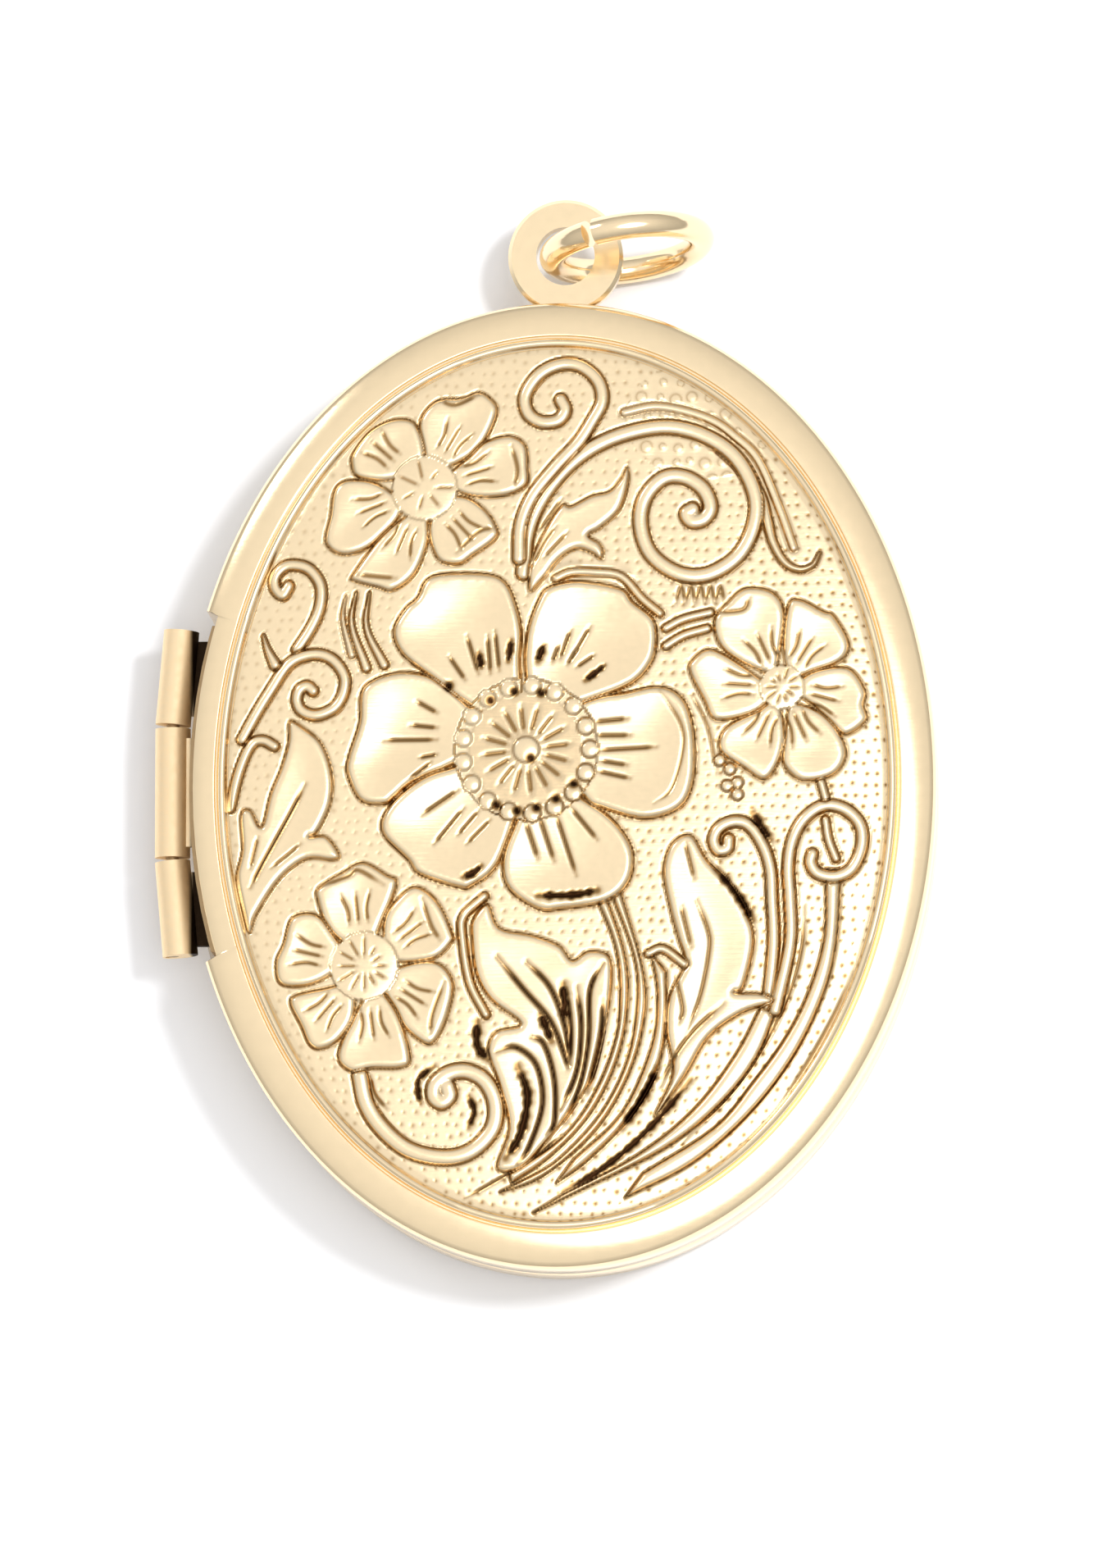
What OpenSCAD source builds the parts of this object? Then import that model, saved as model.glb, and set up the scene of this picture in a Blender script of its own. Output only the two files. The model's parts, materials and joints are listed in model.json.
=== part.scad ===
// Oval photo locket, closed and lying on its back, with its hanging loop towards +Y.
// Origin: centre of the flat back face. +X runs away from the hinge, +Z out of the front cover.
// Millimetres.

/* [Locket body] */
// Width of the closed body, across X
body_w = 25.5; // [20:0.1:34]
// Length of the closed body, along Y, without the hanging loop
body_l = 32.8; // [26:0.1:44]
// Depth of the back half, from the flat back to the parting plane
back_depth = 2.5; // [2.1:0.1:4]
// Depth of the front half at the inner edge of its polished band
front_depth = 2.4; // [2.1:0.1:4]
// Width of the polished band round each cover
band_w = 1.2; // [0.6:0.1:2.5]
// Height that the band falls from its inner edge to its outer edge
band_fall = 0.4; // [0.1:0.05:0.8]
// Height of the embossed dome above the front band
dome_h = 0.62; // [0.2:0.02:1.2]

/* [Sheet metal] */
// Thickness of the two stamped covers
cover_t = 0.4; // [0.25:0.05:0.6]
// Thickness of the liner sheet soldered inside each cover
liner_t = 0.25; // [0.15:0.05:0.4]
// Thickness of the closing rim's strip
rim_t = 0.3; // [0.2:0.05:0.5]
// Height that the closing rim stands above the parting plane
rim_h = 0.8; // [0.4:0.1:1]
// Gap between the closing rim and the front liner
rim_gap = 0.05; // [0.03:0.01:0.1]
// Height of the catch bead on the closing rim
bead_h = 0.1; // [0.06:0.01:0.12]
// Radius of the catch bead
bead_r = 0.4; // [0.3:0.05:0.6]

/* [Pictures] */
// Thickness of each picture card
card_t = 0.25; // [0.15:0.05:0.3]
// Thickness of each clear window
window_t = 0.25; // [0.15:0.05:0.3]
// Height of each picture frame
frame_h = 0.9; // [0.75:0.05:1]
// Width of each picture frame, seen from inside the open locket
frame_w = 1.0; // [0.6:0.1:2]
// Thickness of the frame's flange over the window
flange_t = 0.2; // [0.15:0.05:0.3]
// Side gap round each frame, window and card
slip = 0.05; // [0.03:0.01:0.1]

/* [Hinge] */
// Length over all three knuckles
hinge_l = 11.1; // [8:0.1:16]
// Length of the middle knuckle
middle_l = 4.4; // [3:0.1:7]
// Diameter of the knuckles
knuckle_d = 1.2; // [1:0.05:1.5]
// Gap between neighbouring knuckles
knuckle_gap = 0.12; // [0.08:0.01:0.2]
// Diameter of the hinge pin
pin_d = 0.44; // [0.3:0.02:0.5]
// Play on the radius between the pin and the middle knuckle
pin_play = 0.03; // [0.02:0.01:0.05]
// Angle at which the outer knuckles lean in with the oval
knuckle_lean = 5; // [0:0.5:5]
// Thickness of the bearer strips that carry the knuckles
bearer_t = 0.15; // [0.1:0.05:0.2]
// Gap between a knuckle and the bearer strip of the other half
bearer_gap = 0.07; // [0.05:0.01:0.15]
// Length of notch left free beyond each end of the hinge
notch_end = 0.4; // [0.2:0.1:1]

/* [Hanging loop] */
// Outer diameter of the flat loop
loop_d = 3.92; // [3:0.1:6]
// Diameter of the hole in the loop
loop_hole_d = 2; // [1.8:0.05:3]
// Thickness of the loop
loop_t = 0.6; // [0.4:0.05:1]
// Distance from the end of the body to the middle of the hole
loop_reach = 1.93; // [1.5:0.05:3]
// Bevel on the loop's outer edges
loop_bevel = 0.12; // [0.05:0.01:0.2]
// Sideways place of the loop
loop_x = 0.16; // [-0.5:0.02:0.5]

/* [Jump ring] */
// Outer diameter of the jump ring
ring_d = 6; // [5:0.1:8]
// Diameter of its wire
ring_wire = 0.9; // [0.6:0.05:0.95]
// Width of the open split between its ends
ring_split = 0.3; // [0.1:0.05:0.5]
// Turn of the ring on the table, from pointing away from the hinge
ring_turn = 8; // [0:1:15]
// Lean of the ring's plane from the table
ring_lean = 83; // [80:1:86]

/* [Hidden] */
$fn = 96;

gold = [0.93, 0.80, 0.52];
warm_gold = [0.86, 0.70, 0.42];
paper = [0.95, 0.93, 0.88];
clear = [0.85, 0.92, 0.95, 0.4];

part_z = back_depth;                           // parting plane
oval_steps = 96;                               // straight pieces round each oval
dome_steps = 6;                                // levels up the embossed dome
over = 1;                                      // how far a cutting solid runs past what it cuts
liner_in = cover_t + liner_t;                  // inset of the back liner's inner face
front_liner_t = liner_t - rim_gap;             // the front liner's wall clears the closing rim
rim_in = liner_in + rim_t;                     // inset of the closing rim's inner face
frame_in = rim_in + slip;                      // inset of a picture frame's outer face
window_in = frame_in + 0.25;                   // inset of the windows' and cards' edges
notch_in = cover_t + 0.05;                     // inset of the bottom of the hinge notches
frame_hole_in = frame_in + frame_w;            // inset of the hole in each frame
back_floor = cover_t + band_fall + liner_t;    // top of the back liner's floor
front_floor = part_z + front_depth - cover_t - band_fall - liner_t;  // underside of the front one
bead_x = body_w / 2 - liner_in + bead_h - bead_r;
bead_z = part_z + rim_h / 2;

hinge_x = -(body_w / 2 - cover_t + bearer_t + bearer_gap + knuckle_d / 2);
outer_l = (hinge_l - middle_l) / 2 - knuckle_gap;
outer_y = middle_l / 2 + knuckle_gap + outer_l / 2;
outer_shift = outer_l / 2 * sin(knuckle_lean); // keeps the inner end of a leaning knuckle on axis
leaf_t = 0.3;                                  // thickness of the leaf from a knuckle to its bearer
leaf_end = 0.35;                               // the leaf is this much shorter at each end
pin_fit = 0.01;                                // staked pin in the outer knuckles
bearer_h = 1.3;                                // height of each bearer strip

loop_y = body_l / 2 + loop_reach;
loop_z = part_z - loop_t;
ring_r = (ring_d - ring_wire) / 2;
ring_hang = [-0.26, -0.26];                    // where the wire stands in the loop's hole
ring_z = ring_r * sin(ring_lean) + ring_wire / 2;
split_at = 114;                                // place of the split round the ring
split_angle = ring_split / ring_r * 180 / PI;

// Points round the body's outline, inset evenly.
function oval_points(inset) = [for (i = [0:oval_steps - 1])
    let(a = 360 * i / oval_steps)
        [(body_w / 2 - inset) * cos(a), (body_l / 2 - inset) * sin(a)]];

// A solid oval disc, inset evenly from the outline of the body.
module oval(inset, z0, z1)
    translate([0, 0, z0]) linear_extrude(z1 - z0) polygon(oval_points(inset));

// An oval strip standing on edge between two insets.
module oval_ring(outer_inset, inner_inset, z0, z1)
    difference() {
        oval(outer_inset, z0, z1);
        oval(inner_inset, z0 - over, z1 + over);
    }

// Solid skinned over a stack of ovals, each given as [inset, height], lowest first.
module oval_stack(levels) {
    n = oval_steps;
    top = len(levels) - 1;
    points = [for (level = levels) for (p = oval_points(level[0])) [p[0], p[1], level[1]]];
    sides = [for (k = [0:top - 1]) for (i = [0:n - 1])
        let(j = (i + 1) % n) each [
            [k * n + i, (k + 1) * n + i, (k + 1) * n + j],
            [k * n + i, (k + 1) * n + j, k * n + j]]];
    floor = [for (i = [0:n - 1]) i];
    lid = [for (i = [n - 1:-1:0]) top * n + i];
    polyhedron(points = points, faces = concat([floor], sides, [lid]));
}

// Solid half of a locket: straight wall from z = foot, sloping band and a low dome.
module half_form(inset, depth, dome, foot) {
    flat_in = inset + band_w;
    dome_reach = 0.96;      // the dome ends in a small flat
    dome_side = (body_w / 2 - flat_in) * dome_reach;
    dome_rise = [for (i = [1:dome_steps]) let(a = 90 * i / dome_steps)
        [flat_in + dome_side * (1 - cos(a)), depth + dome * sin(a)]];
    oval_stack(concat([[inset, foot], [inset, depth - band_fall], [flat_in, depth]],
        dome > 0 ? dome_rise : []));
}

// Thin stamped half: a form with the same form cut out of it, one sheet smaller all round.
module stamped_half(depth, dome) {
    difference() {
        half_form(0, depth, dome, 0);
        half_form(cover_t, depth - cover_t, dome, -over);
    }
}

// Space taken out of a half's left edge for the hinge.
module hinge_notch(z0, z1) {
    notch_l = hinge_l + 2 * notch_end;
    difference() {
        translate([-body_w / 2 - over, -notch_l / 2, z0]) cube([body_w / 2, notch_l, z1 - z0]);
        oval(notch_in, z0 - over, z1 + over);
    }
}

module back_cover() {
    color(gold) difference() {
        translate([0, 0, part_z]) mirror([0, 0, 1]) stamped_half(back_depth, 0);
        hinge_notch(cover_t + band_fall, part_z + over);
    }
}

module front_cover() {
    color(gold) difference() {
        translate([0, 0, part_z]) stamped_half(front_depth, dome_h);
        hinge_notch(part_z - over, part_z + front_depth + over);
    }
}

// A liner is a shallow tray of thin sheet, soldered to its cover all round.
module back_liner() {
    color(warm_gold) difference() {
        oval(cover_t, back_floor - liner_t, part_z);
        oval(liner_in, back_floor, part_z + over);
    }
}

module front_liner() {
    color(warm_gold) difference() {
        oval(cover_t, part_z, front_floor + liner_t);
        oval(cover_t + front_liner_t, part_z - over, front_floor);
        translate([bead_x, 0, bead_z]) sphere(r = bead_r + rim_gap);
    }
}

// The closing rim stands up from the back half and holds the front half by a snap bead.
module closing_rim() {
    color(warm_gold) difference() {
        union() {
            oval(liner_in, back_floor, part_z + rim_h);
            translate([bead_x, 0, bead_z]) sphere(r = bead_r);
        }
        oval(rim_in, back_floor - over, part_z + rim_h + over);
    }
}

// A picture frame: an oval ring with a flange that holds the window and the card to the floor.
module picture_frame(outer_inset) {
    seat = frame_h - flange_t;
    difference() {
        oval(outer_inset, 0, frame_h);
        oval(window_in - slip, -over, seat);
        oval(frame_hole_in, -over, frame_h + over);
    }
}

module picture_pack_window() {
    oval(window_in, frame_h - flange_t - window_t, frame_h - flange_t);
}

module picture_pack_card() {
    oval(window_in, 0, card_t);
}

// Turns a back-half insert over into the front half.
module in_front() translate([0, 0, front_floor]) mirror([0, 0, 1]) children();
module in_back() translate([0, 0, back_floor]) children();

module back_picture_frame() { color(warm_gold) in_back() picture_frame(frame_in); }
module front_picture_frame() {
    color(warm_gold) difference() {
        in_front() picture_frame(cover_t + front_liner_t);
        // the closing rim comes up beside the frame
        oval_ring(cover_t, frame_in, part_z - over, part_z + rim_h + slip);
    }
}
module back_window() { color(clear) in_back() picture_pack_window(); }
module front_window() { color(clear) in_front() picture_pack_window(); }
module back_picture_card() { color(paper) in_back() picture_pack_card(); }
module front_picture_card() { color(paper) in_front() picture_pack_card(); }

// A bearer strip lies in the notch of its half, against the liner, and carries the knuckles.
module bearer(z0, z1) {
    intersection() {
        oval_ring(cover_t - bearer_t, cover_t, z0, z1);
        translate([-body_w, -hinge_l / 2, z0 - over])
            cube([body_w, hinge_l, z1 - z0 + 2 * over]);
    }
}

module back_hinge_bearer() { color(warm_gold) bearer(part_z - bearer_h, part_z); }
module front_hinge_bearer() { color(warm_gold) bearer(part_z, part_z + bearer_h); }

// One knuckle: a short tube with a leaf that reaches its bearer. Side is +1 for the leaf of the
// front half and -1 for the back half; lean turns the tube but never its bore.
module knuckle(y, len, side, lean, shift, bore_r) {
    leaf_l = len - 2 * leaf_end;
    leaf_gap = 0.05;
    leaf_z = side > 0 ? leaf_gap : -leaf_gap - leaf_t;
    difference() {
        union() {
            translate([hinge_x + shift, y, part_z]) rotate([0, 0, lean])
                rotate([90, 0, 0]) cylinder(d = knuckle_d, h = len, center = true);
            translate([hinge_x, y - leaf_l / 2, part_z + leaf_z])
                cube([-hinge_x / 2, leaf_l, leaf_t]);
        }
        oval(cover_t - bearer_t, 0, part_z + front_depth);
        translate([hinge_x, y, part_z]) rotate([90, 0, 0])
            cylinder(r = bore_r, h = len * 2, center = true);
    }
}

module hinge_knuckle_top() {
    color(gold) knuckle(outer_y, outer_l, -1, -knuckle_lean, outer_shift, pin_d / 2 + pin_fit);
}

module hinge_knuckle_bottom() {
    color(gold) knuckle(-outer_y, outer_l, -1, knuckle_lean, outer_shift, pin_d / 2 + pin_fit);
}

module hinge_knuckle_middle() {
    color(gold) knuckle(0, middle_l, 1, 0, 0, pin_d / 2 + pin_play);
}

module hinge_pin() {
    color(warm_gold) translate([hinge_x, 0, part_z]) rotate([90, 0, 0])
        cylinder(d = pin_d, h = hinge_l, center = true);
}

// Flat loop with bevelled edges, cut to lie against the wall of the back cover.
module hanging_loop() {
    hole_r = loop_hole_d / 2;
    r = loop_d / 2;
    color(gold) difference() {
        translate([loop_x, loop_y, loop_z]) rotate_extrude() polygon([
            [hole_r, 0], [r - loop_bevel, 0], [r, loop_bevel],
            [r, loop_t - loop_bevel], [r - loop_bevel, loop_t], [hole_r, loop_t]]);
        oval(0, -over, part_z + over);
    }
}

// Open wire ring, threaded through the loop and leaning on the table.
module jump_ring() {
    // from the middle of the ring back to where its wire stands in the hole
    drop = ring_z - (part_z - loop_t / 2);
    rise = -drop / sin(ring_lean);
    back = sqrt(ring_r * ring_r - rise * rise);
    in_plane = [-back, rise * cos(ring_lean)];
    turned = [in_plane[0] * cos(ring_turn) - in_plane[1] * sin(ring_turn),
        in_plane[0] * sin(ring_turn) + in_plane[1] * cos(ring_turn)];
    centre = [loop_x, loop_y] + ring_hang - turned;
    color(gold) translate([centre[0], centre[1], ring_z])
        rotate([ring_lean, 0, ring_turn]) rotate([0, 0, split_at + split_angle / 2])
            rotate_extrude(angle = 360 - split_angle) translate([ring_r, 0])
                circle(d = ring_wire);
}

back_cover();
back_liner();
closing_rim();
back_picture_frame();
back_window();
back_picture_card();
back_hinge_bearer();
hinge_knuckle_top();
hinge_knuckle_bottom();
hinge_pin();
hanging_loop();
front_cover();
front_liner();
front_picture_frame();
front_window();
front_picture_card();
front_hinge_bearer();
hinge_knuckle_middle();
jump_ring();
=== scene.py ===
# %% [markdown]
# # An oval photo locket with an embossed cover
# The locket is closed and lies on its back. The frame gives its exact parts; this lesson puts
# the stamped flower relief, the softened sheet-metal edges and the finishes on top of them.

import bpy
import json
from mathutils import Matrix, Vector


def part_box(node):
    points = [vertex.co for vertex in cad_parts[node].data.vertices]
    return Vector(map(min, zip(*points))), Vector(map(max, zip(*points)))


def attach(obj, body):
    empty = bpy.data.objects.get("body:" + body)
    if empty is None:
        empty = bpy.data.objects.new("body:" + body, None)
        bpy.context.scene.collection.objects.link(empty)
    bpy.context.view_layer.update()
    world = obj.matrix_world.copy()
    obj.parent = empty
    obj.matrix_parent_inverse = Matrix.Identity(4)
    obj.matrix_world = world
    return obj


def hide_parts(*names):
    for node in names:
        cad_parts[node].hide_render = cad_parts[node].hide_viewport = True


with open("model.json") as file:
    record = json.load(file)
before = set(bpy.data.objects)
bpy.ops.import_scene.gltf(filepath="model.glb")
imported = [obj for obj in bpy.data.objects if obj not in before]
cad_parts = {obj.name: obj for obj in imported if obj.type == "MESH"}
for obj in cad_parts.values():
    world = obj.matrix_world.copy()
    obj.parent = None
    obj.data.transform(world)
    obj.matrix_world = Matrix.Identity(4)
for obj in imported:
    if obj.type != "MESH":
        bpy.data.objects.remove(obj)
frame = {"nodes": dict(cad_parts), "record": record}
print("parts in the frame", len(frame["nodes"]))

# %% Measure it
import json
import math

import bpy
import numpy as np
from mathutils import Matrix, Vector

MM = 0.001
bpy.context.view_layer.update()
record = frame["record"]
back_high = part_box("back_cover")[1]
front_low, front_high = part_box("front_cover")
half_w = back_high[0] / MM
half_l = back_high[1] / MM
part_z = back_high[2] / MM
top_z = front_high[2] / MM
hinge_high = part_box("front_hinge_bearer")[1]
print("half width", round(half_w, 2), "half length", round(half_l, 2))
print("parting plane", round(part_z, 2), "top", round(top_z, 2))

# %% [markdown]
# ## Drawing on metal
# The cover of the real locket is pressed in one blow between two steel dies. Sculpting it would
# take thousands of strokes, so here it is drawn: smooth curves through a few points, in
# millimetres from the middle of the cover, and each curve says how high the metal stands near it.
# The heights are kept on one fine grid that becomes the face of the cover.

# %% The grid of the embossed face
FIELD_INSET = 1.62
FIELD_W = half_w - FIELD_INSET
FIELD_L = half_l - FIELD_INSET
STEPS_X = 380
STEPS_Y = 508
across, along = np.meshgrid(np.linspace(-1, 1, STEPS_X + 1), np.linspace(-1, 1, STEPS_Y + 1))
grid_x = (FIELD_W * across * np.sqrt(1 - along**2 / 2)).ravel()
grid_y = (FIELD_L * along * np.sqrt(1 - across**2 / 2)).ravel()
rise = np.zeros(grid_x.size)
# painted shade: how dark the colour is painted at each point, for the shade in grooves, pits and
# corners
shade_paint = np.zeros(grid_x.size)
edge_gap = np.zeros(grid_x.size)  # distance from the edge of the leaf that a point lies on
chance = np.random.default_rng(7)
print("grid points", grid_x.size, "pitch mm", round(2 * FIELD_W / STEPS_X, 3))

# %% Smooth curves and distances
CURVE_STEPS = 5
LENGTHEN = 1.01  # the drawing is a hundredth short along the locket


def smooth(points, closed=False):
    """A smooth line through the points."""
    p = np.array(points, float)
    p[:, 1] *= LENGTHEN
    if closed:
        p = np.vstack([p[-1:], p, p[:2]])
    else:
        p = np.vstack([2 * p[0] - p[1], p, 2 * p[-1] - p[-2]])
    line = []
    for a, b, c, d in zip(p[:-3], p[1:-2], p[2:-1], p[3:]):
        for t in np.arange(CURVE_STEPS) / CURVE_STEPS:
            bend = (2 * a - 5 * b + 4 * c - d) * t**2 + (3 * b - a - 3 * c + d) * t**3
            line.append(b + ((c - a) * t + bend) / 2)
    line.append(p[-2])
    return np.array(line)


def near(line, reach):
    """Grid points within reach of the line, their distance from it, and how far along it."""
    low = line.min(0) - reach
    high = line.max(0) + reach
    inside = (grid_x > low[0]) & (grid_x < high[0]) & (grid_y > low[1]) & (grid_y < high[1])
    index = np.nonzero(inside)[0]
    x = grid_x[index]
    y = grid_y[index]
    best = np.full(index.size, 9.0)
    place = np.zeros(index.size)
    for k in range(len(line) - 1):
        step = line[k + 1] - line[k]
        span = max(step @ step, 1e-9)
        t = ((x - line[k][0]) * step[0] + (y - line[k][1]) * step[1]) / span
        t = t.clip(0, 1)
        gap = np.hypot(x - line[k][0] - t * step[0], y - line[k][1] - t * step[1])
        closer = gap < best
        place[closer] = (k + t[closer]) / (len(line) - 1)
        best = np.minimum(best, gap)
    return index, best, place


def within(line, index):
    """Which of the grid points lie inside the closed line."""
    x = grid_x[index]
    y = grid_y[index]
    odd = np.zeros(index.size, bool)
    for a, b in zip(line, np.roll(line, -1, 0)):
        crosses = (a[1] > y) != (b[1] > y)
        run = (b[0] - a[0]) * (y - a[1]) / (b[1] - a[1] + 1e-12) + a[0]
        odd ^= crosses & (x < run)
    return odd


print("a smooth circle has", len(smooth([(1, 0), (0, 1), (-1, 0), (0, -1)], True)), "points")

# %% [markdown]
# ## Four kinds of mark
# Everything on the cover is one of four marks: a **leaf** is an area with a rolled edge and a
# dished middle, a **band** is a rounded ridge between two dark lines, a **cut** is a fine groove,
# and a **bead** is a small dome. Each mark also paints the shade of its corners and grooves
# into the colour as dark lines, and those thin dark lines are what makes the flowers readable.

# %% The four marks
LINE = 0.05  # half width of the dark line round a mark
ROLL = 0.26  # width of a rolled edge
BLACK = 1.5  # painted shade above this is a black pool


def leaf(outline, height=0.2, dish=0.09, centre=None, dark=0.85):
    """An area with a rolled edge; centre is (x, y, reach, share of the height left there)."""
    line = outline if isinstance(outline, np.ndarray) else smooth(outline, True)
    index, gap, _ = near(np.vstack([line, line[:1]]), 0.5)
    inner = within(line, index)
    edge = (gap / ROLL).clip(0, 1)
    bowl = ((gap - ROLL * 0.6) / 1.1).clip(0, 1)
    level = 0.03 + height * np.sqrt(1 - (1 - edge) ** 2) - dish * bowl**2 * (3 - 2 * bowl)
    if centre:
        reach = np.hypot(grid_x[index] - centre[0], grid_y[index] - centre[1]) / centre[2]
        level *= centre[3] + (1 - centre[3]) * reach.clip(0, 1)
    rise[index[inner]] = level[inner]
    shade_paint[index[inner]] = 0
    edge_gap[index[inner]] = gap[inner]
    # painted shade along the outline, half as strong inside the leaf
    mark = dark * np.exp(-((gap / LINE) ** 2))
    mark[inner] *= 0.55
    shade_paint[index] = np.maximum(shade_paint[index], mark)
    rise[index] -= 0.07 * np.exp(-((gap / LINE) ** 2))


def band(points, width=0.46, height=0.2, dark=0.75, taper=False):
    """A rounded ridge with a dark line on each side."""
    index, gap, place = near(smooth(points), 0.6)
    half = width / 2 * (1 - 0.75 * place if taper else 1)
    inner = gap < half
    level = 0.07 + height * np.sqrt((1 - (gap / half) ** 2).clip(0, 1))
    rise[index[inner]] = level[inner]
    shade_paint[index[inner]] = 0
    edge_gap[index[inner]] = 0
    # painted shade along both sides of the ridge
    mark = dark * np.exp(-(((gap - half) / LINE) ** 2))
    shade_paint[index] = np.maximum(shade_paint[index], mark)
    rise[index] -= 0.06 * np.exp(-(((gap - half) / LINE) ** 2))


def cut(points, width=0.06, depth=0.07, dark=0.8):
    """A fine groove that fades at both ends."""
    line = smooth(points)
    index, gap, place = near(line, 0.5)
    fade = (6 * place).clip(0.35, 1) * (6 * (1 - place)).clip(0.35, 1)
    if dark > BLACK:  # a pool of painted shade has a ragged edge
        run = place * np.hypot(*np.diff(line, axis=0).T).sum()
        gap = gap / (0.95 + 0.16 * np.sin(run * 7.3) + 0.14 * np.sin(run * 19 + 1))
    mark = np.exp(-((gap / width) ** 2)) * fade
    rise[index] -= depth * mark
    # painted shade along the groove
    shade_paint[index] = np.maximum(shade_paint[index], dark * mark)


def ridge(points, width=0.12, height=0.06):
    """A soft raised line that stays bright."""
    index, gap, _ = near(smooth(points), 0.6)
    mark = np.exp(-((gap / width) ** 2))
    rise[index] += height * mark
    shade_paint[index] *= 1 - mark


def bead(x, y, r, height=0.14, dark=0.55):
    """A small dome."""
    gap = np.hypot(grid_x - x, grid_y - y * LENGTHEN)
    index = np.nonzero(gap < r + 0.2)[0]
    gap = gap[index]
    inner = gap < r
    dome = np.sqrt((1 - (gap / r) ** 2).clip(0, 1))
    rise[index[inner]] = (0.1 + height * dome)[inner]
    shade_paint[index[inner]] = 0
    # painted shade round the foot of the dome
    shade_paint[index] = np.maximum(shade_paint[index], dark * np.exp(-(((gap - r) / LINE) ** 2)))


def relax(rounds=60):
    """Evens out the folds inside leaves, well away from their edges, and forgets the leaves."""
    surface = rise.reshape(STEPS_Y + 1, STEPS_X + 1).copy()
    share = ((edge_gap - ROLL) / 0.2).clip(0, 1).reshape(surface.shape)[1:-1, 1:-1]
    for _ in range(rounds):
        around = surface[:-2, 1:-1] + surface[2:, 1:-1] + surface[1:-1, :-2] + surface[1:-1, 2:]
        surface[1:-1, 1:-1] += share * (around / 4 - surface[1:-1, 1:-1])
    rise[:] = surface.ravel()
    edge_gap[:] = 0


def fleck(x, y, r=0.17):
    """A dark speck of painted shade between beads."""
    gap = np.hypot(grid_x - x, grid_y - y * LENGTHEN)
    mark = np.exp(-((gap / r) ** 2))
    rise[:] -= 0.06 * mark
    shade_paint[:] = np.maximum(shade_paint, BLACK * mark)


def stem(one, other, height=0.17):
    """A long stem between two lines."""
    leaf(np.vstack([smooth(one), smooth(other)[::-1]]), height, 0.03, dark=1.15)


print("dark line, mm", 2 * LINE, "rolled edge, mm", ROLL)

# %% [markdown]
# ## The stippled ground
# Behind the flowers a die maker punches small dots close together, so that the ground looks
# matt and the motif stands out. One dot sits in each square of a loose net; shifting each a
# little by chance keeps it from looking like cloth.

# %% Punch the ground


def punch(pitch, radius, seed):
    """How deep each grid point lies in a loose net of punched dots, from 0 to 1."""
    luck = np.random.default_rng(seed)
    count_x = int(2 * FIELD_W / pitch) + 5
    count_y = int(2 * FIELD_L / pitch) + 5
    shift = luck.uniform(-0.14, 0.14, (count_x, count_y, 2))
    size = luck.uniform(0.6, 1.1, (count_x, count_y))
    cell_x = (grid_x + FIELD_W) / pitch + 2
    cell_y = (grid_y + FIELD_L) / pitch + 2
    pits = np.zeros(grid_x.size)
    for step_x in (-1, 0, 1):
        for step_y in (-1, 0, 1):
            i = (cell_x.astype(int) + step_x).clip(0, count_x - 1)
            j = (cell_y.astype(int) + step_y).clip(0, count_y - 1)
            away_x = cell_x - i - 0.5 - shift[i, j, 0] - 0.25 * (j % 2)
            away_y = cell_y - j - 0.5 - shift[i, j, 1]
            gap = np.hypot(away_x, away_y) * pitch / (radius * size[i, j])
            pits = np.maximum(pits, np.exp(-(gap**2)))
    return pits


GROUND = 0.04
toward_light = (0.5 + grid_x / FIELD_W / 2 - grid_y / FIELD_L / 4).clip(0.25, 1)
pits = punch(0.38, 0.075, 3)
rise[:] = GROUND - 0.012 * pits
# painted shade in the punched dots, heavier towards the right and the foot
shade_paint[:] = 0.85 * pits * toward_light
pebbles = punch(0.55, 0.17, 4)
in_corner = np.exp(-(((grid_x - 5) / 2.6) ** 2) - ((grid_y - 12.3) / 2.0) ** 2) > 0.35
rise[in_corner] = GROUND + 0.03 * pebbles[in_corner]
# painted shade in a ring round each pebble
shade_paint[in_corner] = 0.3 * np.exp(-(((pebbles[in_corner] - 0.35) / 0.15) ** 2))
print("ground, mm", GROUND, "with", int(in_corner.sum()), "grid points of pebbles")

# %% [markdown]
# ## Stems at the lower right
# A bundle of long stems sweeps along the right edge and gathers at the foot. They come first,
# because leaves and flowers lie over them.

# %% Draw the stems
stem([(9.05, -3.0), (9.0, -5.2), (8.5, -7.0), (7.7, -8.6), (6.6, -10.1), (5.3, -11.6), (2.9, -13.1)],
     [(9.55, -3.0), (9.4, -5.4), (8.95, -7.2), (7.9, -9.3), (6.4, -11.2), (4.5, -12.8), (2.3, -13.9)])
cut([(10.0, -6.4), (9.3, -7.9), (8.2, -9.8), (6.8, -11.8), (4.8, -13.3)])
cut([(8.3, -4.2), (8.25, -5.6), (7.8, -7.2), (7.0, -8.8), (5.8, -10.5), (4.2, -12.1)])
stem([(6.9, -7.5), (6.0, -9.2), (4.6, -11.0), (2.7, -12.5), (0.2, -13.8)],
     [(7.5, -7.4), (6.7, -9.3), (5.4, -10.9), (3.6, -12.3), (0.9, -13.6), (-0.8, -14.4)])
stem([(3.2, -5.8), (3.4, -7.2), (3.2, -8.9), (2.2, -11.1), (0.6, -12.6)],
     [(3.7, -6.4), (3.7, -8.0), (3.4, -9.6), (2.4, -11.3), (1.0, -12.7), (0, -13.4)])
stem([(1.7, -3.4), (2.6, -5.8), (2.72, -7.4), (2.4, -9.3), (1.5, -11.1), (0.1, -12.6),
      (-0.9, -13.2)],
     [(2.1, -3.5), (2.95, -6.5), (2.9, -8.3), (2.3, -10.1), (1.2, -11.8), (-0.5, -13.2),
      (-1.9, -13.7)])
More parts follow.
